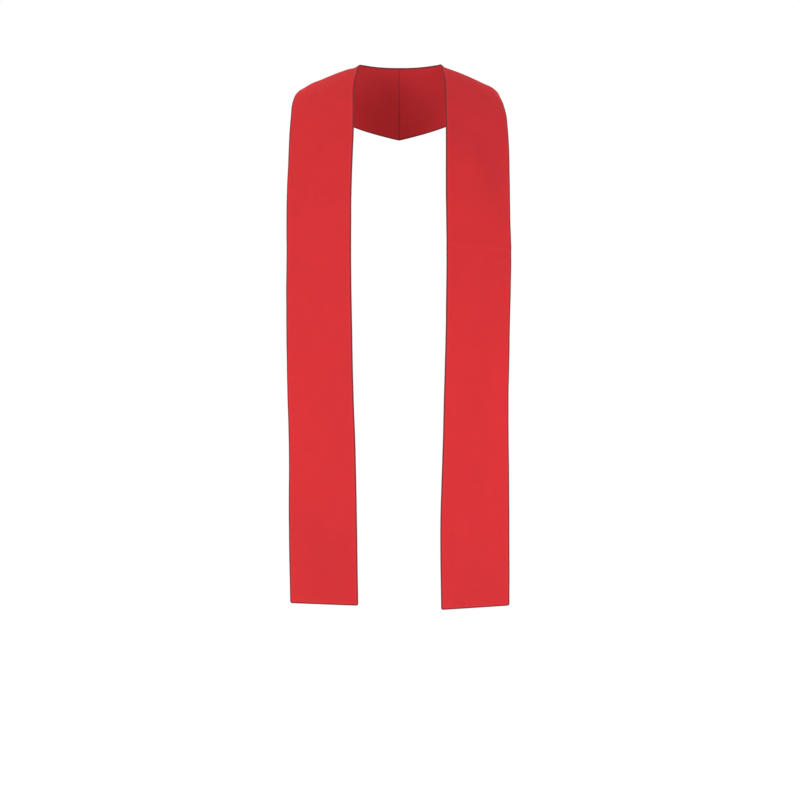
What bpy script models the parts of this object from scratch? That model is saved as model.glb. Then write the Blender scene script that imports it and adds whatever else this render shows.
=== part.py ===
"""A plain clerical stole in the shape that it takes when worn.

Two halves of one broad band meet in a seam at the back of the neck, lie over the
shoulders and hang down the front. Metres, +Z up, the wearer faces -Y. The origin is
where the nape carries the band: the neck edge of the centre-back seam.
"""

from collections import namedtuple

import bmesh
import bpy
import numpy as np

MM = 0.001

# Driving dimensions
BAND_WIDTH = 141 * MM
CLOTH_THICKNESS = 2.4 * MM
EDGE_ROUNDING = 0.9 * MM
SEAM_GAP = 0.3 * MM
NECK_HALF_WIDTH = 85 * MM
NECK_DEPTH = 70 * MM
NECK_SIDE_DROP = 7 * MM

# How finely the cloth is divided
CELLS_ACROSS = 10
SEAM_STEP = 1.5 * MM
SHOULDER_STEP = 13 * MM
HANG_STEP = 33 * MM
SHOULDER_RUN = 440 * MM

CLOTH_RED = (0.64, 0.035, 0.043, 1.0)

# One line across the band. It starts at the neck edge (x is away from the middle of the
# body) and runs to the outer edge. turn is its heading in plan: 0 points away from the
# middle and 90 points backwards. dip is its slope below level. wrap and bend are how far
# turn and dip change by the outer edge. stretch is the band's width there over its usual
# width. Lengths are in millimetres and angles in degrees.
Line = namedtuple("Line", "place x y z turn wrap dip bend stretch")

# Round the back of the neck the neck edge is a quarter of an ellipse, and angle is how
# far round it the line starts.
BackLine = namedtuple("BackLine", "place angle turn wrap dip bend stretch")
BACK_OF_NECK = (
    BackLine("centre back seam", 0.0, 90, 0, 62, 18, 1.09),
    BackLine("nape", 22.5, 66, 2, 55, 19, 1.02),
    BackLine("trapezius", 45.0, 47, 2, 36, 21, 1.0),
    BackLine("behind the ridge", 67.5, 34, 2, 21, 19, 1.0),
)
NECK_SIDE = (NECK_HALF_WIDTH / MM, -NECK_DEPTH / MM, -NECK_SIDE_DROP / MM)

RIGHT_FRONT = (
    Line("neck side", *NECK_SIDE, 27, 2, 10, 16, 1),
    Line("shoulder ridge", 87, -98, -26, 23, 2, 5, 16, 1),
    Line("shoulder front", 91.3, -125, -61, 20.5, 3, 4, 9, 1),
    Line("collarbone", 91, -150, -107, 17.5, 5, 3, 4, 1),
    Line("armhole", 91.5, -172, -160, 15, 7, 3, 1, 1),
    Line("upper chest", 93.8, -192, -230, 15, 9, 2, 1, 1),
    Line("chest", 95.3, -205, -302, 15, 9, 1, 0, 1),
    Line("ribs", 95.6, -211, -400, 16, 8, 0, 0, 1),
    Line("waist", 93.5, -213, -563, 14, 7, 0, 0, 1),
    Line("belt", 90.3, -214, -703, 14, 6, 0, 0, 1),
    Line("hip", 86.4, -216, -810, 13, 5, 0, 0, 1),
    Line("thigh", 83.8, -219, -950, 9, 5, 0, 0, 1),
    Line("hem", 81.2, -223, -1112, 10, 5, -0.8, 0, 1),
)

LEFT_FRONT = (
    Line("neck side", *NECK_SIDE, 27, 2, 11, 14, 1),
    Line("shoulder ridge", 91.3, -98, -26, 25.5, 3, 7, 18, 1),
    Line("shoulder front", 93.4, -125, -61, 24, 3, 6, 12, 1),
    Line("collarbone", 94, -150, -107, 21.5, 4, 4, 4, 1),
    Line("armhole", 94.4, -172, -160, 19, 6, 3, 1, 1),
    Line("upper chest", 93.8, -192, -230, 17, 8, 2, 1, 1),
    Line("chest", 94, -205, -302, 17, 8, 1, 0, 1),
    Line("ribs", 94.8, -211, -392, 16.5, 7, 0, 0, 1),
    Line("waist", 93, -213, -563, 17.5, 7, 0, 0, 1),
    Line("belt", 89.4, -214, -703, 17, 6, 0, 0, 1),
    Line("hip", 86.6, -216, -810, 14, 5, 0, 0, 1),
    Line("thigh", 82.5, -219, -950, 7, 3, -1, 0, 1),
    Line("hem", 84, -223, -1120.5, 9, 4, -2.4, 0, 1),
)

# A soft fold is a trough, or a ridge where its depth is negative, along a straight line
# on the cloth. run is the distance from the centre-back seam and off the distance from
# the neck edge, in millimetres.
Fold = namedtuple("Fold", "place run_a off_a run_b off_b breadth depth")
RIGHT_FOLDS = (
    Fold("beside the neck", 84, 0, 176, 0, 13, 4.0),
    Fold("over the shoulder ridge", 150, 4, 215, 86, 13, -2.2),
    Fold("below the neck", 178, 22, 300, 60, 24, -1.6),
    Fold("round the back of the neck", 20, 34, 118, 52, 20, 1.6),
    Fold("shoulder blade", 46, 104, 120, 118, 16, -1.2),
    Fold("crown of the shoulder", 100, 104, 190, 116, 16, -1.7),
    Fold("down the chest", 330, 96, 560, 62, 26, -1.4),
    Fold("across the waist", 620, 30, 860, 104, 30, -1.6),
    Fold("above the hem", 980, 92, 1230, 52, 26, -1.5),
)
LEFT_FOLDS = (
    Fold("beside the neck", 84, 0, 182, 0, 8, 2.6),
    Fold("over the shoulder ridge", 158, 14, 206, 98, 15, -1.7),
    Fold("below the neck", 186, 30, 286, 78, 26, -1.8),
    Fold("round the back of the neck", 24, 40, 112, 48, 22, 1.5),
    Fold("shoulder blade", 40, 100, 124, 120, 15, -1.3),
    Fold("crown of the shoulder", 112, 106, 196, 116, 15, -1.9),
    Fold("outer edge below the crown", 100, 141, 200, 141, 10, 1.8),
    Fold("down the chest", 310, 44, 520, 92, 28, -1.6),
    Fold("across the waist", 600, 96, 830, 40, 30, -1.3),
    Fold("above the hem", 960, 38, 1220, 90, 28, -1.8),
)


def back_lines():
    """The lines across the band round the back of the neck, as Line rows."""
    lines = []
    for row in BACK_OF_NECK:
        angle = np.radians(row.angle)
        x = NECK_HALF_WIDTH / MM * np.sin(angle)
        y = -NECK_DEPTH / MM * (1 - np.cos(angle))
        z = -NECK_SIDE_DROP / MM * np.sin(angle) ** 2
        lines.append(Line(row.place, x, y, z, row.turn, row.wrap, row.dip, row.bend, row.stretch))
    return lines


def smooth(knots, values, at):
    """A cubic curve through values at knots, read at the places in at."""
    slopes = np.gradient(values, knots, axis=0)
    i = np.clip(np.searchsorted(knots, at, side="right") - 1, 0, len(knots) - 2)
    length = (knots[i + 1] - knots[i])[:, None]
    t = (at - knots[i])[:, None] / length
    start = (1 + 2 * t) * (1 - t) ** 2 * values[i] + t * (1 - t) ** 2 * length * slopes[i]
    end = t**2 * (3 - 2 * t) * values[i + 1] + t**2 * (t - 1) * length * slopes[i + 1]
    return start + end


def mirrored(line, seam):
    """The same line on the other half, so that the curves cross the seam smoothly.

    Only the width goes on changing there, which gives the point at the back of the neck.
    """
    return line._replace(
        x=-line.x, turn=180 - line.turn, wrap=-line.wrap, stretch=2 * seam.stretch - line.stretch
    )


def fold_depth(folds, run, off):
    """How far the folds push the cloth in, at each run and off, in metres."""
    depth = np.zeros(np.broadcast(run, off).shape)
    for fold in folds:
        a = np.array([fold.run_a, fold.off_a]) * MM
        b = np.array([fold.run_b, fold.off_b]) * MM
        length = np.linalg.norm(b - a)
        along = ((run - a[0]) * (b - a)[0] + (off - a[1]) * (b - a)[1]) / length**2
        aside = ((run - a[0]) * (b - a)[1] - (off - a[1]) * (b - a)[0]) / length
        fade = np.clip(1 - (2 * along - 1) ** 2, 0, 1) ** 1.5
        depth += fold.depth * MM * fade * np.exp(-((aside / (fold.breadth * MM)) ** 2))
    return depth


def stations(length):
    """Distances from the seam at which the cloth is divided: close over the shoulder."""
    first = SEAM_GAP / 2
    near = np.linspace(first + SEAM_STEP, SHOULDER_RUN, round(SHOULDER_RUN / SHOULDER_STEP))
    far = np.linspace(SHOULDER_RUN, length, round((length - SHOULDER_RUN) / HANG_STEP) + 1)
    return np.concatenate([[first], near, far[1:]])


def band_points(front, folds):
    """The underside of one half as points[station, place across, xyz], on the +X side."""
    lines = back_lines() + list(front)
    lines = [mirrored(lines[1], lines[0])] + lines
    rows = np.array([line[1:] for line in lines], float)
    steps = np.linalg.norm(np.diff(rows[:, :3], axis=0), axis=1) * MM
    knots = np.concatenate([[0], np.cumsum(steps)]) - steps[0]
    runs = stations(knots[-1])
    x, y, z, turn, wrap, dip, bend, stretch = smooth(knots, rows, runs).T

    share = np.linspace(0, 1, CELLS_ACROSS + 1)
    middle = (share[1:] + share[:-1]) / 2
    turns = np.radians(turn[:, None] + wrap[:, None] * middle)
    dips = np.radians(dip[:, None] + bend[:, None] * middle)
    aim = np.stack(
        [np.cos(dips) * np.cos(turns), np.cos(dips) * np.sin(turns), -np.sin(dips)], axis=-1
    )
    strides = aim * (BAND_WIDTH / CELLS_ACROSS * stretch)[:, None, None]
    start = np.stack([x, y, z], axis=-1)[:, None, :] * MM
    points = np.concatenate([start, start + np.cumsum(strides, axis=1)], axis=1)

    outward = np.cross(np.gradient(points, axis=0), np.gradient(points, axis=1))
    outward /= np.linalg.norm(outward, axis=-1, keepdims=True)
    inward = fold_depth(folds, runs[:, None], share[None, :] * BAND_WIDTH)
    inward *= np.clip(runs / SHOULDER_STEP, 0, 1)[:, None]
    return points - outward * inward[..., None]


def cloth_material():
    """The red face cloth: matt and plainly, closely woven."""
    material = bpy.data.materials.new("red_cloth")
    material.use_nodes = True
    shader = material.node_tree.nodes["Principled BSDF"]
    shader.inputs["Base Color"].default_value = CLOTH_RED
    shader.inputs["Roughness"].default_value = 0.85
    shader.inputs["Metallic"].default_value = 0.0
    return material


def make_half(name, side, points, material, collection):
    """One half of the stole: a grid laid on points, given its thickness outwards."""
    rows, columns = points.shape[:2]
    sheet = bmesh.new()
    bmesh.ops.create_grid(sheet, x_segments=rows - 1, y_segments=columns - 1, size=0.5)
    for vertex in sheet.verts:
        row = round((vertex.co.x + 0.5) * (rows - 1))
        column = round((vertex.co.y + 0.5) * (columns - 1))
        x, y, z = points[row, column]
        vertex.co = (side * x, y, z)
    if side > 0:
        bmesh.ops.reverse_faces(sheet, faces=sheet.faces)
    mesh = bpy.data.meshes.new(name)
    sheet.to_mesh(mesh)
    sheet.free()
    mesh.materials.append(material)
    mesh.shade_smooth()

    half = bpy.data.objects.new(name, mesh)
    collection.objects.link(half)
    wall = half.modifiers.new("wall", "SOLIDIFY")
    wall.thickness = CLOTH_THICKNESS
    wall.offset = -1
    wall.use_even_offset = True
    edge = half.modifiers.new("turned edge", "BEVEL")
    edge.width = EDGE_ROUNDING
    edge.segments = 2
    edge.limit_method = "ANGLE"
    edge.angle_limit = np.radians(60)
    return half


def main():
    for old in list(bpy.data.objects):
        bpy.data.objects.remove(old)
    collection = bpy.data.collections.new("clerical_stole")
    bpy.context.scene.collection.children.link(collection)
    material = cloth_material()
    make_half("stole_right_half", -1, band_points(RIGHT_FRONT, RIGHT_FOLDS), material, collection)
    make_half("stole_left_half", 1, band_points(LEFT_FRONT, LEFT_FOLDS), material, collection)


main()
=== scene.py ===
import math

import bmesh
import bpy
import numpy as np
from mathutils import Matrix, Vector


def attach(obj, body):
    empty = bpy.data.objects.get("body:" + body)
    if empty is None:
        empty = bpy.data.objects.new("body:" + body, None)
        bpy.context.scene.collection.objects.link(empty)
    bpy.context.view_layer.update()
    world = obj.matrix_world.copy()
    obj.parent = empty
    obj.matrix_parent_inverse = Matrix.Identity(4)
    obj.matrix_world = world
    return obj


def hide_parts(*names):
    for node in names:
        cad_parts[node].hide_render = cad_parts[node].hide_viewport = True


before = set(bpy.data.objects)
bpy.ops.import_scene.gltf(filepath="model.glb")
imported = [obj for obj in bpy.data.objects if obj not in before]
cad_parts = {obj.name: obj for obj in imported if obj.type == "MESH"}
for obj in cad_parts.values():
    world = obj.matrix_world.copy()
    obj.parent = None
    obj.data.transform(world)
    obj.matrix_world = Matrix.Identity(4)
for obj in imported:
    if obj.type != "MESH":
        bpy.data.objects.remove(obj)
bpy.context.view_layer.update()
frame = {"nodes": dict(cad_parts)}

mm = 0.001
print("frame loaded:", ", ".join(frame["nodes"]))


# The cut. Lengths in millimetres here and in the tables, in metres once they are worked out.
cut = {
    "width": 141.0,
    "thickness": 2.4,  # face cloth, interlining and lining together
    "neckHalfWidth": 85.0,
    "neckDepth": 70.0,
    "neckSideDrop": 7.0,
    "hemCorner": 4.5,  # radius
    "flat": (0.24, 1.38),  # the rectangle that one half is cut from, in metres
    "flatArea": 0.187,  # one layer of one half, in square metres
}

# A row is one line across the band. It starts on the neck edge at x, y, z (x away from the middle
# of the body). turn is its heading in plan, from 0 straight out to 90 straight back, and dip its
# slope below level. wrap and bend are how far these two change by the outer edge, in degrees.
# stretch is its length over the band's width. A row holds x, y, z, turn, wrap, dip, bend, stretch.

# Round the back of the neck the neck edge is a quarter of an ellipse: angle round it in degrees,
# then turn, wrap, dip, bend and stretch.
backRows = (
    (0.0, 90, 0, 62, 18, 1.09),  # centre-back seam
    (22.5, 66, 2, 55, 19, 1.02),  # nape
    (45.0, 47, 2, 36, 21, 1.0),  # trapezius
    (67.5, 34, 2, 21, 19, 1.0),  # behind the ridge
)

rightHalf = {
    "name": "right_half_cloth",
    "node": "stole_right_half",
    "side": -1,
    "rows": (
        (85, -70, -7, 27, 2, 10, 16, 1),  # side of the neck
        (87, -98, -26, 23, 2, 5, 16, 1),  # shoulder ridge
        (91.3, -125, -61, 20.5, 3, 4, 9, 1),  # front of the shoulder
        (91, -150, -107, 17.5, 5, 3, 4, 1),  # collarbone
        (91.5, -172, -160, 15, 7, 3, 1, 1),  # armhole
        (93.8, -192, -230, 15, 9, 2, 1, 1),  # upper chest
        (95.3, -205, -302, 15, 9, 1, 0, 1),  # chest
        (95.6, -211, -400, 16, 8, 0, 0, 1),  # ribs
        (93.5, -213, -563, 14, 7, 0, 0, 1),  # waist
        (90.3, -214, -703, 14, 6, 0, 0, 1),  # belt
        (86.4, -216, -810, 13, 5, 0, 0, 1),  # hip
        (83.8, -219, -950, 9, 5, 0, 0, 1),  # thigh
        (81.2, -223, -1112, 10, 5, -0.8, 0, 1),  # hem
    ),
    # A fold is a trough, or a ridge where depth is negative, along a straight line on the cloth:
    # run and off at its two ends (from the seam and from the neck edge), breadth and depth.
    "folds": (
        (84, 0, 176, 0, 13, 4.0),  # beside the neck
        (150, 4, 215, 86, 13, -2.2),  # over the shoulder ridge
        (178, 22, 300, 60, 24, -1.6),  # below the neck
        (20, 34, 118, 52, 20, 1.6),  # round the back of the neck
        (46, 104, 120, 118, 16, -1.2),  # shoulder blade
        (330, 96, 560, 62, 26, -1.4),  # down the chest
        (620, 30, 860, 104, 30, -1.6),  # across the waist
        (980, 92, 1230, 52, 26, -1.5),  # above the hem
        # Finer ones that only the looks need.
        (640, 106, 1070, 98, 22, -1.3),  # outer side of the hanging end
        (630, 34, 1060, 40, 20, 1.3),  # inner side of the hanging end
        (196, 70, 268, 132, 11, 0.9),  # outer break of the shoulder
        (62, 6, 96, 58, 9, 0.8),  # drag from the neck edge behind
        (100, 104, 190, 116, 16, -1.7),  # crown of the shoulder
    ),
    # Painted light and shade: the cloth's colour is lighter, or darker where amount is negative, along
    # lines like the folds'.
    "paintedShading": (
        (152, 20, 182, 250, 20, 0.34),  # in front of the shoulder ridge
        (90, 128, 360, 118, 38, 0.14),  # outer side of the shoulder
        (740, 118, 1080, 116, 34, 0.15),  # outer side of the hanging end
        (740, 28, 1060, 28, 30, -0.08),  # inner side of the hanging end
        (1040, 60, 1400, 20, 70, -0.25),  # above the hem
        (1020, 112, 1240, 108, 40, -0.10),  # outer side above the hem
    ),
    "neckLean": -2.4,  # how far the standing neck edge leans out from the neck
    "phase": 0.4,  # where the small waves start
}

leftHalf = {
    "name": "left_half_cloth",
    "node": "stole_left_half",
    "side": 1,
    "rows": (
        (85, -70, -7, 27, 2, 11, 14, 1),  # side of the neck
        (91.3, -98, -26, 25.5, 3, 7, 18, 1),  # shoulder ridge
        (93.4, -125, -61, 24, 3, 6, 12, 1),  # front of the shoulder
        (94, -150, -107, 21.5, 4, 4, 4, 1),  # collarbone
        (94.4, -172, -160, 19, 6, 3, 1, 1),  # armhole
        (93.8, -192, -230, 17, 8, 2, 1, 1),  # upper chest
        (94, -205, -302, 17, 8, 1, 0, 1),  # chest
        (94.8, -211, -392, 16.5, 7, 0, 0, 1),  # ribs
        (93, -213, -563, 17.5, 7, 0, 0, 1),  # waist
        (89.4, -214, -703, 17, 6, 0, 0, 1),  # belt
        (86.6, -216, -810, 14, 5, 0, 0, 1),  # hip
        (82.5, -219, -950, 7, 3, -1, 0, 1),  # thigh
        (84, -223, -1120.5, 9, 4, -2.4, 0, 1),  # hem
    ),
    "folds": (
        (84, 0, 182, 0, 8, 2.6),  # beside the neck
        (158, 14, 206, 98, 15, -1.7),  # over the shoulder ridge
        (186, 30, 286, 78, 26, -1.8),  # below the neck
        (24, 40, 112, 48, 22, 1.5),  # round the back of the neck
        (40, 100, 124, 120, 15, -1.3),  # shoulder blade
        (310, 44, 520, 92, 28, -1.6),  # down the chest
        (600, 96, 830, 40, 30, -1.3),  # across the waist
        (960, 38, 1220, 90, 28, -1.8),  # above the hem
        # Finer ones that only the looks need.
        (536, -40, 549, 180, 7, -1.5),  # cross buckle over the breast
        (548, -30, 560, 170, 9, 0.9),  # hollow under the buckle
        (620, 26, 1060, 22, 18, -1.2),  # inner side of the hanging end
        (640, 104, 1080, 98, 22, 1.3),  # outer side of the hanging end
        (190, 64, 250, 136, 12, 1.0),  # outer break of the shoulder
        (250, 36, 340, 96, 16, 0.9),  # below the ridge
        (56, 8, 104, 52, 10, 0.7),  # drag from the neck edge behind
        (112, 120, 200, 124, 12.5, -2.2),  # crown of the shoulder
        (100, 141, 200, 141, 10, 1.8),  # outer edge, turned down over the crown
    ),
    "paintedShading": (
        (152, 40, 182, 250, 20, 0.36),  # in front of the shoulder ridge
        (130, 6, 420, 20, 45, -0.22),  # inner side of the shoulder
        (240, 80, 520, 110, 40, -0.22),  # front of the shoulder
        (600, 124, 1140, 120, 42, 0.26),  # outer side of the hanging end
        (560, 30, 1060, 30, 50, 0.14),  # inner side of the hanging end
        (1080, 70, 1420, 60, 90, -0.16),  # above the hem
    ),
    "neckLean": 2.8,
    "phase": 2.1,
}

# The neck edge stands up beside the neck: how high, how much of that at the seam, how far in from
# the edge, and between which runs it rises and comes down again.
neckStand = {"height": 6.6, "atSeam": 0.3, "breadth": 7.0, "rises": (10, 104), "ends": (106, 150)}

# How finely the drape is worked out, and how far it is eased along the run, in millimetres. Easing
# and folds come in over the first stretch from the seam, so that both halves meet there.
drapeSteps = {"run": 3.0, "off": 1.5, "easing": 8.0, "easedFrom": 30.0, "foldedFrom": 13.0}


def bandRows(half):
    # All rows of a half as one array: the back rows from the ellipse x = a sin t,
    # y = -b (1 - cos t), z = -drop sin squared t, then the half's own rows.
    back = np.array(backRows, float)
    t = np.radians(back[:, :1])
    start = np.hstack([
        cut["neckHalfWidth"] * np.sin(t),
        -cut["neckDepth"] * (1 - np.cos(t)),
        -cut["neckSideDrop"] * np.sin(t) ** 2,
    ])
    return np.vstack([np.hstack([start, back[:, 1:]]), np.array(half["rows"], float)])


def mirrorRow(row, seamRow):
    # The row beyond the seam, on the other half: x, turn and wrap are mirrored, and the stretch
    # goes on changing, which gives the point at the back of the neck.
    x, y, z, turn, wrap, dip, bend, stretch = row
    return np.array([-x, y, z, 180 - turn, -wrap, dip, bend, 2 * seamRow[7] - stretch])


def smoothCurve(knots, values, at):
    # A cubic Hermite curve through values, with slopes from each knot's two neighbours.
    slopes = np.gradient(values, knots, axis=0)
    i = np.clip(np.searchsorted(knots, at, side="right") - 1, 0, len(knots) - 2)
    length = (knots[i + 1] - knots[i])[:, None]
    t = (at - knots[i])[:, None] / length
    start = (1 + 2 * t) * (1 - t) ** 2 * values[i] + t * (1 - t) ** 2 * length * slopes[i]
    end = t**2 * (3 - 2 * t) * values[i + 1] + t**2 * (t - 1) * length * slopes[i + 1]
    return start + end


def eased(columns, sigma):
    # A running average with bell-shaped weights; beyond both ends the column goes on straight.
    reach = int(3 * sigma)
    weights = np.exp(-0.5 * (np.arange(-reach, reach + 1) / sigma) ** 2)
    weights /= weights.sum()
    before = 2 * columns[:1] - columns[reach:0:-1]
    after = 2 * columns[-1:] - columns[-2:-reach - 2:-1]
    long = np.concatenate([before, columns, after])
    return np.stack([np.convolve(c, weights, mode="valid") for c in long.T], axis=1)


def foldDepth(folds, run, off):
    # Each fold: its depth, times a bell across its line, times 1 - (2 t - 1) squared to the power
    # 1.5 along it, where t goes from 0 to 1.
    depth = np.zeros(np.broadcast(run, off).shape)
    for runA, offA, runB, offB, breadth, amount in folds:
        dr, do = runB - runA, offB - offA
        length = math.hypot(dr, do)
        along = ((run - runA) * dr + (off - offA) * do) / length**2
        aside = ((run - runA) * do - (off - offA) * dr) / length
        fade = np.clip(1 - (2 * along - 1) ** 2, 0, 1) ** 1.5
        depth += amount * fade * np.exp(-((aside / breadth) ** 2))
    return depth


def softStep(value, low, high):
    # From 0 at low to 1 at high, as 3 t squared - 2 t cubed.
    t = np.clip((value - low) / (high - low), 0, 1)
    return t * t * (3 - 2 * t)


def unit(vectors):
    # Each vector over its own length.
    return vectors / np.linalg.norm(vectors, axis=-1, keepdims=True)


def normals(points):
    # The direction square to a grid of points: its step along the run crossed with the one across.
    return unit(np.cross(np.gradient(points, axis=0), np.gradient(points, axis=1)))


def evenStations(half):
    # The rows of a half at even steps along the run, on a smooth curve through them, then eased.
    rows = bandRows(half)
    rows = np.vstack([mirrorRow(rows[1], rows[0]), rows])
    steps = np.linalg.norm(np.diff(rows[:, :3], axis=0), axis=1)
    knots = np.concatenate([[0], np.cumsum(steps)]) - steps[0]
    count = round(knots[-1] / drapeSteps["run"])
    runs = np.linspace(0, knots[-1], count + 1)
    columns = smoothCurve(knots, rows, runs)
    middle = eased(columns, drapeSteps["easing"] / drapeSteps["run"])
    keep = np.clip(runs / drapeSteps["easedFrom"], 0, 1)[:, None]
    return runs, columns + keep * (middle - columns)


def neckLift(half, runs, offs):
    # How far the standing neck edge moves each point to the side and up: a bell across the band
    # times a soft rise and fall along it. The move to the side starts from nothing at the seam.
    rising = softStep(runs, *neckStand["rises"])
    stand = neckStand["atSeam"] + (1 - neckStand["atSeam"]) * rising
    stand = stand * (1 - softStep(runs, *neckStand["ends"]))
    stand = stand[:, None] * np.exp(-((offs / neckStand["breadth"]) ** 2))
    return stand * rising[:, None] * half["neckLean"], stand * neckStand["height"]


def drape(half):
    # The underside of a half: from each station's neck edge the line across is the running sum of
    # small steps whose heading goes from turn to turn + wrap and whose slope goes from dip to
    # dip + bend. Folds then push it in along its normal, and the neck edge stands up.
    runs, columns = evenStations(half)
    x, y, z, turn, wrap, dip, bend, stretch = columns.T
    cells = round(cut["width"] / drapeSteps["off"])
    share = np.linspace(0, 1, cells + 1)
    middles = (share[1:] + share[:-1]) / 2
    turns = np.radians(turn[:, None] + wrap[:, None] * middles)
    dips = np.radians(dip[:, None] + bend[:, None] * middles)
    aim = np.stack([np.cos(dips) * np.cos(turns), np.cos(dips) * np.sin(turns), -np.sin(dips)], -1)
    strides = aim * (cut["width"] / cells * stretch)[:, None, None]
    start = np.stack([x, y, z], -1)[:, None, :]
    points = np.concatenate([start, start + np.cumsum(strides, axis=1)], axis=1)
    offs = share * cut["width"]

    depth = foldDepth(half["folds"], runs[:, None], offs[None, :])
    depth *= np.clip(runs / drapeSteps["foldedFrom"], 0, 1)[:, None]
    points = points - normals(points) * depth[..., None]
    aside, up = neckLift(half, runs, offs)
    points[..., 0] += aside
    points[..., 2] += up
    outward = normals(points)
    outward[0, :, 0] = 0  # both halves meet square at the seam
    return {"side": half["side"], "runs": runs, "offs": offs, "points": points, "outward": unit(outward)}


def onDrape(sheet, run, off, lift):
    # Points at run and off: a bilinear mix of the drape's four nearest points, moved outwards by
    # lift along the same mix of their normals. They come back in metres, on the half's own side.
    run, off, lift = np.broadcast_arrays(run, off, lift)
    i = np.clip(np.searchsorted(sheet["runs"], run, side="right") - 1, 0, len(sheet["runs"]) - 2)
    j = np.clip(np.searchsorted(sheet["offs"], off, side="right") - 1, 0, len(sheet["offs"]) - 2)
    a = ((run - sheet["runs"][i]) / (sheet["runs"][i + 1] - sheet["runs"][i]))[..., None]
    b = ((off - sheet["offs"][j]) / (sheet["offs"][j + 1] - sheet["offs"][j]))[..., None]
    mixed = []
    for grid in (sheet["points"], sheet["outward"]):
        near = grid[i, j] * (1 - b) + grid[i, j + 1] * b
        far = grid[i + 1, j] * (1 - b) + grid[i + 1, j + 1] * b
        mixed.append(near * (1 - a) + far * a)
    points = (mixed[0] + unit(mixed[1]) * lift[..., None]) * mm
    return points * np.array([sheet["side"], 1, 1])


# The wall: how both faces stand off the middle of the cloth, all in millimetres.
wall = {
    "half": 1.08,  # half the thickness of the plain cloth, a little less than the cut's
    "rounding": 1.1,  # the turned edge rolls over in this width
    "allowance": (2.6, 11.0, 0.22),  # seam allowance inside: from, to, how much it lifts a face
    "hemAllowance": (3.0, 14.0, 0.34),
    "allowanceSides": (0.3, 2.2),  # it rises from this share of its start, and falls in this width
    "liningSeam": (2.3, 0.45, 0.4),  # groove on the underside: from the edge, half width, depth
    # How far the stations at an edge are from it, and how far apart the others are.
    "edgeSteps": (0, 0.06, 0.2, 0.42, 0.72, 1.1, 1.5, 1.8, 2.05, 2.3, 2.55, 2.8, 3.2, 4.0, 5.5, 7.5, 9.5,
                  11.0, 12.0, 13.2, 15.0, 17.5),
    "step": 4.0,
    "seamRounding": 0.8,  # the rounding where the two halves meet
    "seamOpen": 0.62,  # how thick the cloth still is where the two halves meet, over its usual half
    "seamShade": (1.6, 1.8),  # the seam's own line counts as an edge, so it takes the painted edge shade too: distance in it, and growth per mm
}


def allowanceLift(distance, row):
    # A low plateau between two distances from the edge, with soft sides.
    start, end, lift = row
    share, fall = wall["allowanceSides"]
    return lift * softStep(distance, start * share, start) * (1 - softStep(distance, end, end + fall))


def wallLifts(run, off, length):
    # How far the face and the underside stand from the middle of the cloth: a quarter circle at
    # the side edges and the hem, a part of one at the seam, and the allowances inside.
    side = np.minimum(off, cut["width"] - off)
    hem = length - run
    rounding = wall["rounding"]
    edge = np.minimum(side, hem)
    roll = np.sqrt(np.clip(1 - (1 - np.clip(side / rounding, 0, 1)) ** 2, 0, 1))
    roll = roll * np.sqrt(np.clip(1 - (1 - np.clip(hem / rounding, 0, 1)) ** 2, 0, 1))
    seam = 1 - np.clip(run / wall["seamRounding"], 0, 1)
    roll = roll * (wall["seamOpen"] + (1 - wall["seamOpen"]) * np.sqrt(1 - seam**2))
    inside = np.maximum(allowanceLift(side, wall["allowance"]), allowanceLift(hem, wall["hemAllowance"]))
    inside = np.maximum(inside, allowanceLift(run, wall["allowance"]))
    place, spread, depth = wall["liningSeam"]
    groove = depth * np.exp(-(((edge - place) / spread) ** 2))
    return roll * (wall["half"] + inside), roll * (wall["half"] + inside - groove)


def gridFaces(rows, columns, start=0):
    # The four corners of every cell of a grid of points, counted row by row.
    index = start + np.arange(rows * columns).reshape(rows, columns)
    cells = np.stack([index[:-1, :-1], index[:-1, 1:], index[1:, 1:], index[1:, :-1]], -1)
    return cells.reshape(-1, 4)


def meshObject(name, points, faces, material):
    # A smooth mesh of points and faces, in the scene and with one material.
    mesh = bpy.data.meshes.new(name)
    mesh.from_pydata(points.reshape(-1, 3), [], faces)
    mesh.materials.append(material)
    mesh.shade_smooth()
    piece = bpy.data.objects.new(name, mesh)
    bpy.context.scene.collection.objects.link(piece)
    return piece


def addPointValue(mesh, name, values):
    # One number at each point, which the materials read by name.
    layer = mesh.attributes.new(name, "FLOAT", "POINT")
    layer.data.foreach_set("value", values.astype(np.float32).ravel())


def closeSteps(length):
    # Stations along one direction: close together at both ends, even in between.
    ends = np.array(wall["edgeSteps"], float)
    inner = length - 2 * ends[-1]
    even = np.linspace(ends[-1], length - ends[-1], round(inner / wall["step"]) + 1)
    return np.concatenate([ends[:-1], even, length - ends[:-1][::-1]])


# Slight waves that pressed cloth keeps, and the pucker of its seams, in millimetres.
ripples = {
    # Height, the lengths along the run and across it in which a wave turns by one radian, and the
    # multiple of the half's phase that it starts from. The longest has its sway across instead.
    "longest": (0.32, 31, 44, 0.9),
    "shorter": ((0.22, 17.3, 61, 2.3), (0.12, 9.1, -23, 3.1)),
    "pucker": (0.07, 2.6, 5),  # height, length and how far in it reaches
    "puckerSway": (1.7, 19),  # in radians, and over which length
    "seamPucker": (0.12, 1.5, 4),
    "wavesFrom": 25,  # the waves come in over this distance from the seam
    "seamPuckerFrom": 2,
}


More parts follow.
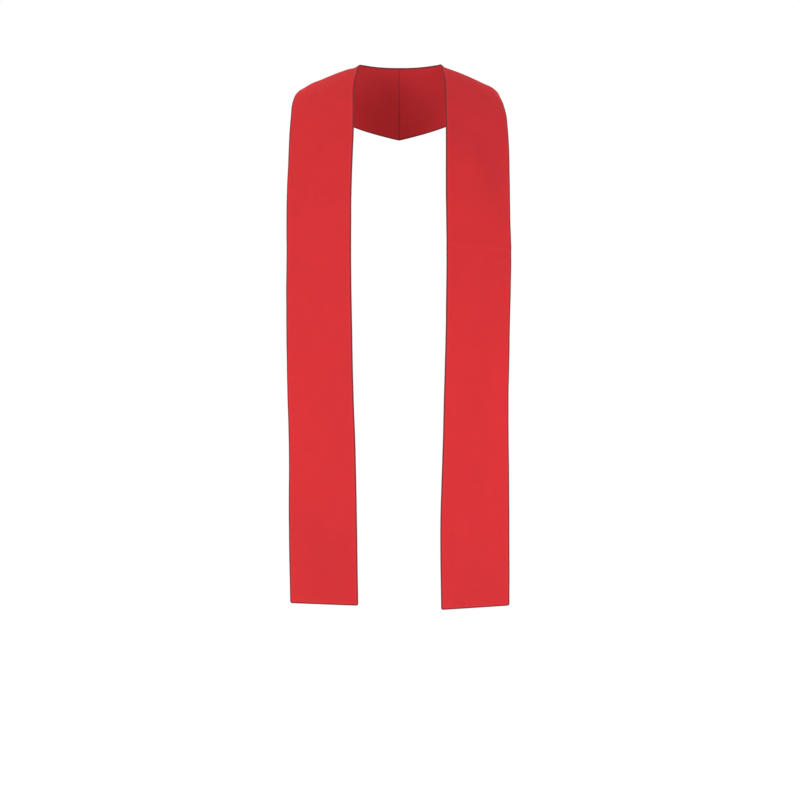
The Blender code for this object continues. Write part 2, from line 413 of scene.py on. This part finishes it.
def ripple(run, off, phase):
    # Three sines along the run, each shifted across the band, a fine sine along the stitched edges
    # and one along the seam. The fine ones die away inwards as e to the power -distance / reach.
    height, along, across, sway = ripples["longest"]
    waves = height * np.sin(run / along + phase + sway * np.sin(off / across + phase))
    for height, along, across, multiple in ripples["shorter"]:
        waves = waves + height * np.sin(run / along + off / across + multiple * phase)
    side = np.minimum(off, cut["width"] - off)
    sway, swayLength = ripples["puckerSway"]
    height, along, reach = ripples["pucker"]
    pucker = height * np.sin(run / along + sway * np.sin(run / swayLength + phase)) * np.exp(-side / reach)
    height, across, reach = ripples["seamPucker"]
    seamPucker = height * np.sin(off / across + phase) * np.exp(-run / reach)
    waves = waves * np.clip(run / ripples["wavesFrom"], 0, 1)
    return waves + pucker + seamPucker * np.clip(run / ripples["seamPuckerFrom"], 0, 1)


def wave(half, run, off):
    # The middle of the cloth, half the thickness outside the drape, with its ripples.
    return ripple(run, off, half["phase"]) + cut["thickness"] / 2


def roundCorners(run, off, length):
    # Both hem corners: with a and b the shares of the way out to the hem and to the side inside
    # the corner's square, the point moves to a root(1 - b squared / 2), b root(1 - a squared / 2).
    radius = cut["hemCorner"]
    middle = cut["width"] / 2
    a = 1 - np.clip((length - run) / radius, 0, 1)
    b = 1 - np.clip((middle - np.abs(off - middle)) / radius, 0, 1)
    inwards = radius * b * (1 - np.sqrt(1 - a**2 / 2))
    run = run - radius * a * (1 - np.sqrt(1 - b**2 / 2))
    return run, off + np.where(off < middle, inwards, -inwards)


def addClothValues(mesh, half, run, off, length, used):
    # The map of the flat cloth, in metres, with the underside mirrored beside the face. Then three
    # values at each point: the distance from the edge in millimetres, 1 on the underside, and the painted
    # light and shade on the face.
    flat = np.stack([run, off], -1).reshape(-1, 2)
    flat = np.concatenate([flat, flat * [1, -1]])[used] * mm
    corners = np.empty(len(mesh.loops), np.int32)
    mesh.loops.foreach_get("vertex_index", corners)
    layer = mesh.uv_layers.new(name="cloth")
    layer.data.foreach_set("uv", flat[corners].astype(np.float32).ravel())

    edge = np.minimum(np.minimum(off, cut["width"] - off), length - run)
    inSeam, growth = wall["seamShade"]
    edge = np.minimum(edge, inSeam + run * growth).ravel()
    paintedShading = foldDepth(half["paintedShading"], run, off).ravel()
    addPointValue(mesh, "edge", np.concatenate([edge, edge])[used])
    addPointValue(mesh, "under", np.repeat([0.0, 1.0], edge.size)[used])
    addPointValue(mesh, "paintedShading", np.concatenate([paintedShading, 0 * paintedShading])[used])


def makeHalf(half, material):
    # The closed shell of a half: a grid over the face and one over the underside that share
    # their border, at run and off, lifted from the middle by the wall's two heights.
    sheet = drape(half)
    length = sheet["runs"][-1]
    runs = closeSteps(length)
    runs = np.concatenate([runs[:1], runs])  # the wall at the seam stands between two equal stations
    offs = closeSteps(cut["width"])
    run, off = np.meshgrid(runs, offs, indexing="ij")
    up, down = wallLifts(run, off, length)
    up[0] = down[0] = 0
    middle = wave(half, run, off)
    rows, columns = run.shape
    place = roundCorners(run, off, length)
    points = np.concatenate([
        onDrape(sheet, *place, middle + up).reshape(-1, 3),
        onDrape(sheet, *place, middle - down).reshape(-1, 3),
    ])
    face = gridFaces(rows, columns)
    under = gridFaces(rows, columns, rows * columns)[:, ::-1]
    faces = np.concatenate([face, under])
    if half["side"] > 0:
        faces = faces[:, ::-1]  # so that the other side's faces point outwards too

    # The underside's border points are the face's own, so the shell is closed.
    index = np.arange(2 * rows * columns)
    border = np.zeros((rows, columns), bool)
    border[[0, -1], :] = border[:, [0, -1]] = True
    index[rows * columns:][border.ravel()] = np.flatnonzero(border.ravel())
    used, renumbered = np.unique(index, return_inverse=True)
    piece = meshObject(half["name"], points[used], renumbered[faces].tolist(), material)
    addClothValues(piece.data, half, run, off, length, used)
    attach(piece, "root")
    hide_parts(half["node"])
    print(half["name"], len(used), "points,", len(faces), "faces")
    return piece, sheet


# Hand sewing, in millimetres.
sewing = {
    "spacing": 5.2,
    "length": 2.6,
    "slant": 38.0,  # degrees off the line of the seam
    "thread": 0.17,  # radius
    "bow": 0.2,  # how high a stitch arches off the cloth
    "sink": 0.16,  # how deep its ends go in
    "fromEdge": 2.25,
    "edgeEnds": (7, 9),  # the long edges' stitches start and end this far from seam and hem
    "hemEnds": 9,
    "seamSpacing": 4.4,
    "seamLength": 2.8,
    "seamSlant": 20,
    "seamEnds": (6, 5),  # from the neck edge and from the outer edge
}
stitchPlaces = np.array([-0.97, -0.62, 0, 0.62, 0.97])  # its rings, as shares of its half length
stitchTurns = np.radians(np.arange(0, 360, 60))  # the points round a ring


def stitchRings(run, off, heading, length):
    # Each stitch is a small spindle: its middle line goes length / 2 times u along its heading,
    # arched by bow (1 - u squared), and its radius is the thread's times the root of 1 - u squared.
    u = stitchPlaces[None, :, None]
    v = stitchTurns[None, None, :]
    radius = sewing["thread"] * np.sqrt(1 - u**2)
    run, off, heading = (np.asarray(a, float)[:, None, None] for a in (run, off, heading))
    ahead = length / 2 * u
    aside = radius * np.cos(v)
    rise = sewing["bow"] * (1 - u**2) + radius * np.sin(v) - sewing["sink"]
    return (run + ahead * np.cos(heading) - aside * np.sin(heading),
            off + ahead * np.sin(heading) + aside * np.cos(heading), rise)


def underside(half, sheet, run, off, rise):
    # Points that stand rise off the underside of a half.
    down = wallLifts(run, off, sheet["runs"][-1])[1]
    return onDrape(sheet, run, off, wave(half, run, off) - down - rise)


def stitchObject(name, points, material):
    # All stitches as one mesh: a belt of faces from each ring to the next, and a cap on both ends.
    count, rings, around = points.shape[:3]
    first = np.arange(count)[:, None] * rings * around
    ring = np.arange(around)
    beside = np.roll(ring, -1)
    belt = np.stack([ring, beside, beside + around, ring + around], -1)
    belts = np.concatenate([belt + around * k for k in range(rings - 1)])
    quads = (first[:, :, None] + belts[None]).reshape(-1, 4).tolist()
    caps = np.concatenate([first + ring[::-1], first + ring + around * (rings - 1)]).tolist()
    piece = meshObject(name, points, quads + caps, material)
    body = bmesh.new()
    body.from_mesh(piece.data)
    bmesh.ops.recalc_face_normals(body, faces=body.faces)
    body.to_mesh(piece.data)
    body.free()
    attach(piece, "root")
    print(name, count, "stitches")
    return piece


def makeFelling(half, sheet, material):
    # The lining's hand stitches: along both long edges, then along the hem.
    slant = math.radians(sewing["slant"])
    inset = sewing["fromEdge"]
    length = sheet["runs"][-1]
    first, last = sewing["edgeEnds"]
    runs = np.arange(first, length - last, sewing["spacing"])
    offs = np.arange(sewing["hemEnds"], cut["width"] - sewing["hemEnds"], sewing["spacing"])
    run = np.concatenate([runs, runs + sewing["spacing"] / 3, np.full_like(offs, length - inset)])
    off = np.concatenate([np.full_like(runs, inset), np.full_like(runs, cut["width"] - inset), offs])
    heading = np.concatenate([
        np.full_like(runs, slant),
        np.full_like(runs, -slant),
        np.full_like(offs, math.pi / 2 + slant),
    ])
    run, off, rise = stitchRings(run, off, heading, sewing["length"])
    points = underside(half, sheet, run, off, rise)
    return stitchObject(half["name"].replace("cloth", "felling"), points, material)


def makeSeamStitches(half, sheet, material):
    # Stitches across the centre-back seam, under it. Their run is negative beyond the seam, where
    # the other half is the mirror image.
    first, last = sewing["seamEnds"]
    offs = np.arange(first, cut["width"] - last, sewing["seamSpacing"])
    heading = np.full_like(offs, math.radians(sewing["seamSlant"]))
    run, off, rise = stitchRings(np.zeros_like(offs), offs, heading, sewing["seamLength"])
    points = underside(half, sheet, np.abs(run), off, rise)
    points[..., 0] *= np.where(run < 0, -1, 1)
    return stitchObject("back_seam_stitches", points, material)


class Wire:
    # One socket of a node tree. Operators on it add Math nodes, and node adds any other.
    def __init__(self, tree, socket=None):
        self.tree = tree
        self.socket = socket

    def node(self, kind, settings=None, values=None, output=0):
        # One node: settings are its properties, values fill its sockets by number or name.
        made = self.tree.nodes.new(kind)
        for key, value in (settings or {}).items():
            setattr(made, key, value)
        for key, value in (values or {}).items():
            if isinstance(value, Wire):
                self.tree.links.new(value.socket, made.inputs[key])
            else:
                made.inputs[key].default_value = value
        return Wire(self.tree, made.outputs[output])

    def into(self, shader, name):
        self.tree.links.new(self.socket, shader.inputs[name])

    def maths(self, operation, *values):
        return self.node("ShaderNodeMath", {"operation": operation}, dict(enumerate(values)))

    def __add__(self, other):
        return self.maths("ADD", self, other)

    def __radd__(self, other):
        return self.maths("ADD", other, self)

    def __sub__(self, other):
        return self.maths("SUBTRACT", self, other)

    def __rsub__(self, other):
        return self.maths("SUBTRACT", other, self)

    def __mul__(self, other):
        return self.maths("MULTIPLY", self, other)

    def __rmul__(self, other):
        return self.maths("MULTIPLY", other, self)

    def sine(self):
        return self.maths("SINE", self)


def mixColours(share, first, second):
    return share.node("ShaderNodeMix", {"data_type": "RGBA"}, {0: share, 6: first, 7: second}, 2)


def rampDown(value, low, high):
    # 1 below low, 0 above high.
    values = {0: value, 1: low, 2: high, 3: 1.0, 4: 0.0}
    return value.node("ShaderNodeMapRange", {"interpolation_type": "SMOOTHSTEP"}, values)


def newMaterial(name):
    # The material, a wire that its nodes start from, and its shader.
    material = bpy.data.materials.new(name)
    material.use_nodes = True
    tree = material.node_tree
    return material, Wire(tree), tree.nodes["Principled BSDF"]


# Colours are linear red, green, blue and alpha.
clothLook = {
    "red": (0.47, 0.0204, 0.0241, 1),
    "deep": (0.345, 0.0180, 0.0217, 1),  # slubs, and the painted shade where the painted shading is negative
    "edge": (0.155, 0.0165, 0.0195, 1),  # painted shade on the turned edge, where it rolls away from the light
    "edgeShadeWidth": (2.2, 3.5),  # full up to here and gone by here, in millimetres
    "highlightRed": (0.485, 0.0232, 0.0272, 1),  # painted highlight on the ridge of the allowance, just inside the edge
    "highlightWidth": (4.0, 8.0),
    "highlightShare": 0.4,
    # The underside: a deeper red lining, part of its darkening being painted shade for the inside of the
    # neck.
    "lining": (0.400, 0.0165, 0.0205, 1),
    # Noise per metre along the run and across it: threads of one way, then of the other.
    "slubs": ((36, 800, 1), (620, 50, 1)),
    "clouds": 24.0,  # patches of uneven dye and pressing, per metre
    "tone": {"slub": 0.55, "cloud": 0.32, "middle": 0.41},  # share of the deep red
    "thread": 0.0006,  # spacing of the threads, in metres
    "relief": 0.00007,
    "height": {"weave": 0.5, "slub": 1.4, "cloud": 5.0},
    "roughness": 0.88,
    "slubRoughness": 0.15,
    "liningShine": 0.18,
    "specular": 0.08,
    "sheen": 0.05,
    "sheenRoughness": 0.4,
    "sheenTint": (1.0, 0.12, 0.10, 1),
}


def clothMaterial(look):
    material, start, shader = newMaterial("red_cloth_plain_weave")
    uv = start.node("ShaderNodeUVMap", {"uv_map": "cloth"})
    run = start.node("ShaderNodeSeparateXYZ", None, {0: uv}, 0)
    off = start.node("ShaderNodeSeparateXYZ", None, {0: uv}, 1)
    edge = start.node("ShaderNodeAttribute", {"attribute_name": "edge"}, None, 2)
    under = start.node("ShaderNodeAttribute", {"attribute_name": "under"}, None, 2)
    paintedShading = start.node("ShaderNodeAttribute", {"attribute_name": "paintedShading"}, None, 2)

    # Plain weave: warp and weft rise in turn.
    turnsPerMetre = math.pi / look["thread"]
    weave = (run * turnsPerMetre).sine() * (off * turnsPerMetre).sine()

    # Slubs are noise drawn out along the warp and along the weft.
    drawn = []
    for scale in look["slubs"]:
        place = start.node("ShaderNodeVectorMath", {"operation": "MULTIPLY"}, {0: uv, 1: scale})
        values = {"Vector": place, "Scale": 1.0, "Detail": 2.0}
        drawn.append(start.node("ShaderNodeTexNoise", {"noise_dimensions": "2D"}, values))
    slub = (drawn[0] + drawn[1]) * 0.5 - 0.5
    values = {"Vector": uv, "Scale": look["clouds"], "Detail": 3.0, "Roughness": 0.6}
    cloud = start.node("ShaderNodeTexNoise", {"noise_dimensions": "2D"}, values) - 0.5

    share = look["tone"]
    # The tone also takes the painted light and shade from the half's table: lighter patches stand for
    # light, darker ones for shade.
    tone = slub * share["slub"] + cloud * share["cloud"] + share["middle"] - paintedShading
    tone = start.node("ShaderNodeClamp", None, {0: tone})
    colour = mixColours(tone, look["red"], look["deep"])
    # Painted highlight on the face, along the allowance's ridge just inside the edge.
    ridge = rampDown(edge, *look["highlightWidth"]) * (1 - under) * look["highlightShare"]
    colour = mixColours(ridge, colour, look["highlightRed"])
    # The underside takes the lining red, darker partly as painted shade.
    colour = mixColours(under, colour, mixColours(tone, look["lining"], look["deep"]))
    # Painted shade along the turned edges and along the seam's line.
    colour = mixColours(rampDown(edge, *look["edgeShadeWidth"]), colour, look["edge"])
    colour.into(shader, "Base Color")

    share = look["height"]
    height = weave * share["weave"] + slub * share["slub"] + cloud * share["cloud"]
    values = {"Strength": 0.7, "Distance": look["relief"], "Height": height}
    start.node("ShaderNodeBump", None, values).into(shader, "Normal")
    rough = look["roughness"] + slub * look["slubRoughness"] - under * look["liningShine"]
    rough.into(shader, "Roughness")
    shader.inputs["Sheen Weight"].default_value = look["sheen"]
    shader.inputs["Sheen Roughness"].default_value = look["sheenRoughness"]
    shader.inputs["Sheen Tint"].default_value = look["sheenTint"]
    shader.inputs["Specular IOR Level"].default_value = look["specular"]
    return material


threadLook = {
    "red": (0.46, 0.012, 0.018, 1),
    "pale": (0.60, 0.030, 0.036, 1),
    "twist": 2600.0,  # bands of the twist, per metre
    "relief": 0.00004,
    "roughness": 0.55,
    "specular": 0.35,
}


def threadMaterial(look):
    # Bands across the thread, like its twist.
    material, start, shader = newMaterial("red_sewing_thread")
    place = start.node("ShaderNodeTexCoord", None, None, 3)
    values = {"Vector": place, "Scale": look["twist"], "Distortion": 1.5}
    twist = start.node("ShaderNodeTexWave", {"bands_direction": "DIAGONAL"}, values, 1)
    mixColours(twist, look["red"], look["pale"]).into(shader, "Base Color")
    values = {"Strength": 0.5, "Distance": look["relief"], "Height": twist}
    start.node("ShaderNodeBump", None, values).into(shader, "Normal")
    shader.inputs["Roughness"].default_value = look["roughness"]
    shader.inputs["Specular IOR Level"].default_value = look["specular"]
    return material


redCloth = clothMaterial(clothLook)
redThread = threadMaterial(threadLook)
for half in (rightHalf, leftHalf):
    piece, sheet = makeHalf(half, redCloth)
    sewn = [makeFelling(half, sheet, redThread)]
    if half is leftHalf:  # the seam is sewn once
        sewn.append(makeSeamStitches(half, sheet, redThread))
print("both halves draped and sewn")


# Floor, light and camera. The camera is level, opposite the middle of the hanging cloth.
view = {
    "lens": 85.0,
    "distance": 4.0,
    "height": -0.7007,
    "across": 0.002,
    "floor": -1.52,
    "floorReach": (1.3, 3.0),  # solid up to here and gone by here
    "floorPoints": 61,  # along each side
    "floorPaint": (0.94, 0.94, 0.94, 1),
    "floorRoughness": 0.9,
    "floorSpecular": 0.1,
}


def makeFloor():
    # A level square of points whose share of white paint falls off smoothly with the radius.
    near, far = view["floorReach"]
    count = view["floorPoints"]
    side = np.linspace(-far, far, count)
    x, y = np.meshgrid(side, side, indexing="ij")
    points = np.stack([x, y, np.full_like(x, view["floor"])], -1)
    material, start, shader = newMaterial("pale_floor_paint")
    shader.inputs["Base Color"].default_value = view["floorPaint"]
    shader.inputs["Roughness"].default_value = view["floorRoughness"]
    shader.inputs["Specular IOR Level"].default_value = view["floorSpecular"]
    start.node("ShaderNodeAttribute", {"attribute_name": "solid"}, None, 2).into(shader, "Alpha")
    floor = meshObject("pale_floor", points, gridFaces(count, count).tolist(), material)
    addPointValue(floor.data, "solid", 1 - softStep(np.hypot(x, y), near, far))


# Each lamp: place, point it aims at, width and height, watts.
lamps = {
    "key_softbox": ((-2.6, -3.3, -0.35), (0, -0.1, -0.7), (1.6, 1.8), 80),
    "low_fill_softbox": ((1.5, -1.9, -1.25), (0.1, -0.2, -0.9), (0.7, 0.9), 20.5),
    "top_softbox": ((-0.3, 0.7, 1.8), (0, -0.1, 0), (1.8, 1.8), 13),
    "back_softbox": ((1.9, 3.0, 0.5), (0, 0, -0.3), (1.6, 1.8), 34),
}


def addLamp(name, place, target, size, power):
    # A soft rectangular lamp that the camera doesn't see.
    data = bpy.data.lights.new(name, "AREA")
    data.shape = "RECTANGLE"
    data.size, data.size_y = size
    data.energy = power
    lamp = bpy.data.objects.new(name, data)
    lamp.location = place
    lamp.rotation_euler = (Vector(target) - Vector(place)).to_track_quat("-Z", "Y").to_euler()
    lamp.visible_camera = False
    bpy.context.scene.collection.objects.link(lamp)


def makeSky():
    # Even white light from all round, as in a light tent.
    world = bpy.data.worlds.new("studio")
    bpy.context.scene.world = world
    world.use_nodes = True
    world.node_tree.nodes["Background"].inputs["Color"].default_value = (1, 1, 1, 1)


makeFloor()
for name, row in lamps.items():
    addLamp(name, *row)
makeSky()

cameraData = bpy.data.cameras.new("camera")
cameraData.lens = view["lens"]
cameraData.clip_end = 60
camera = bpy.data.objects.new("camera", cameraData)
camera.location = (view["across"], -view["distance"], view["height"])
camera.rotation_euler = (math.pi / 2, 0, 0)
bpy.context.scene.collection.objects.link(camera)
bpy.context.scene.camera = camera
bpy.context.scene.view_settings.view_transform = "Standard"
print("floor, lights and camera placed")
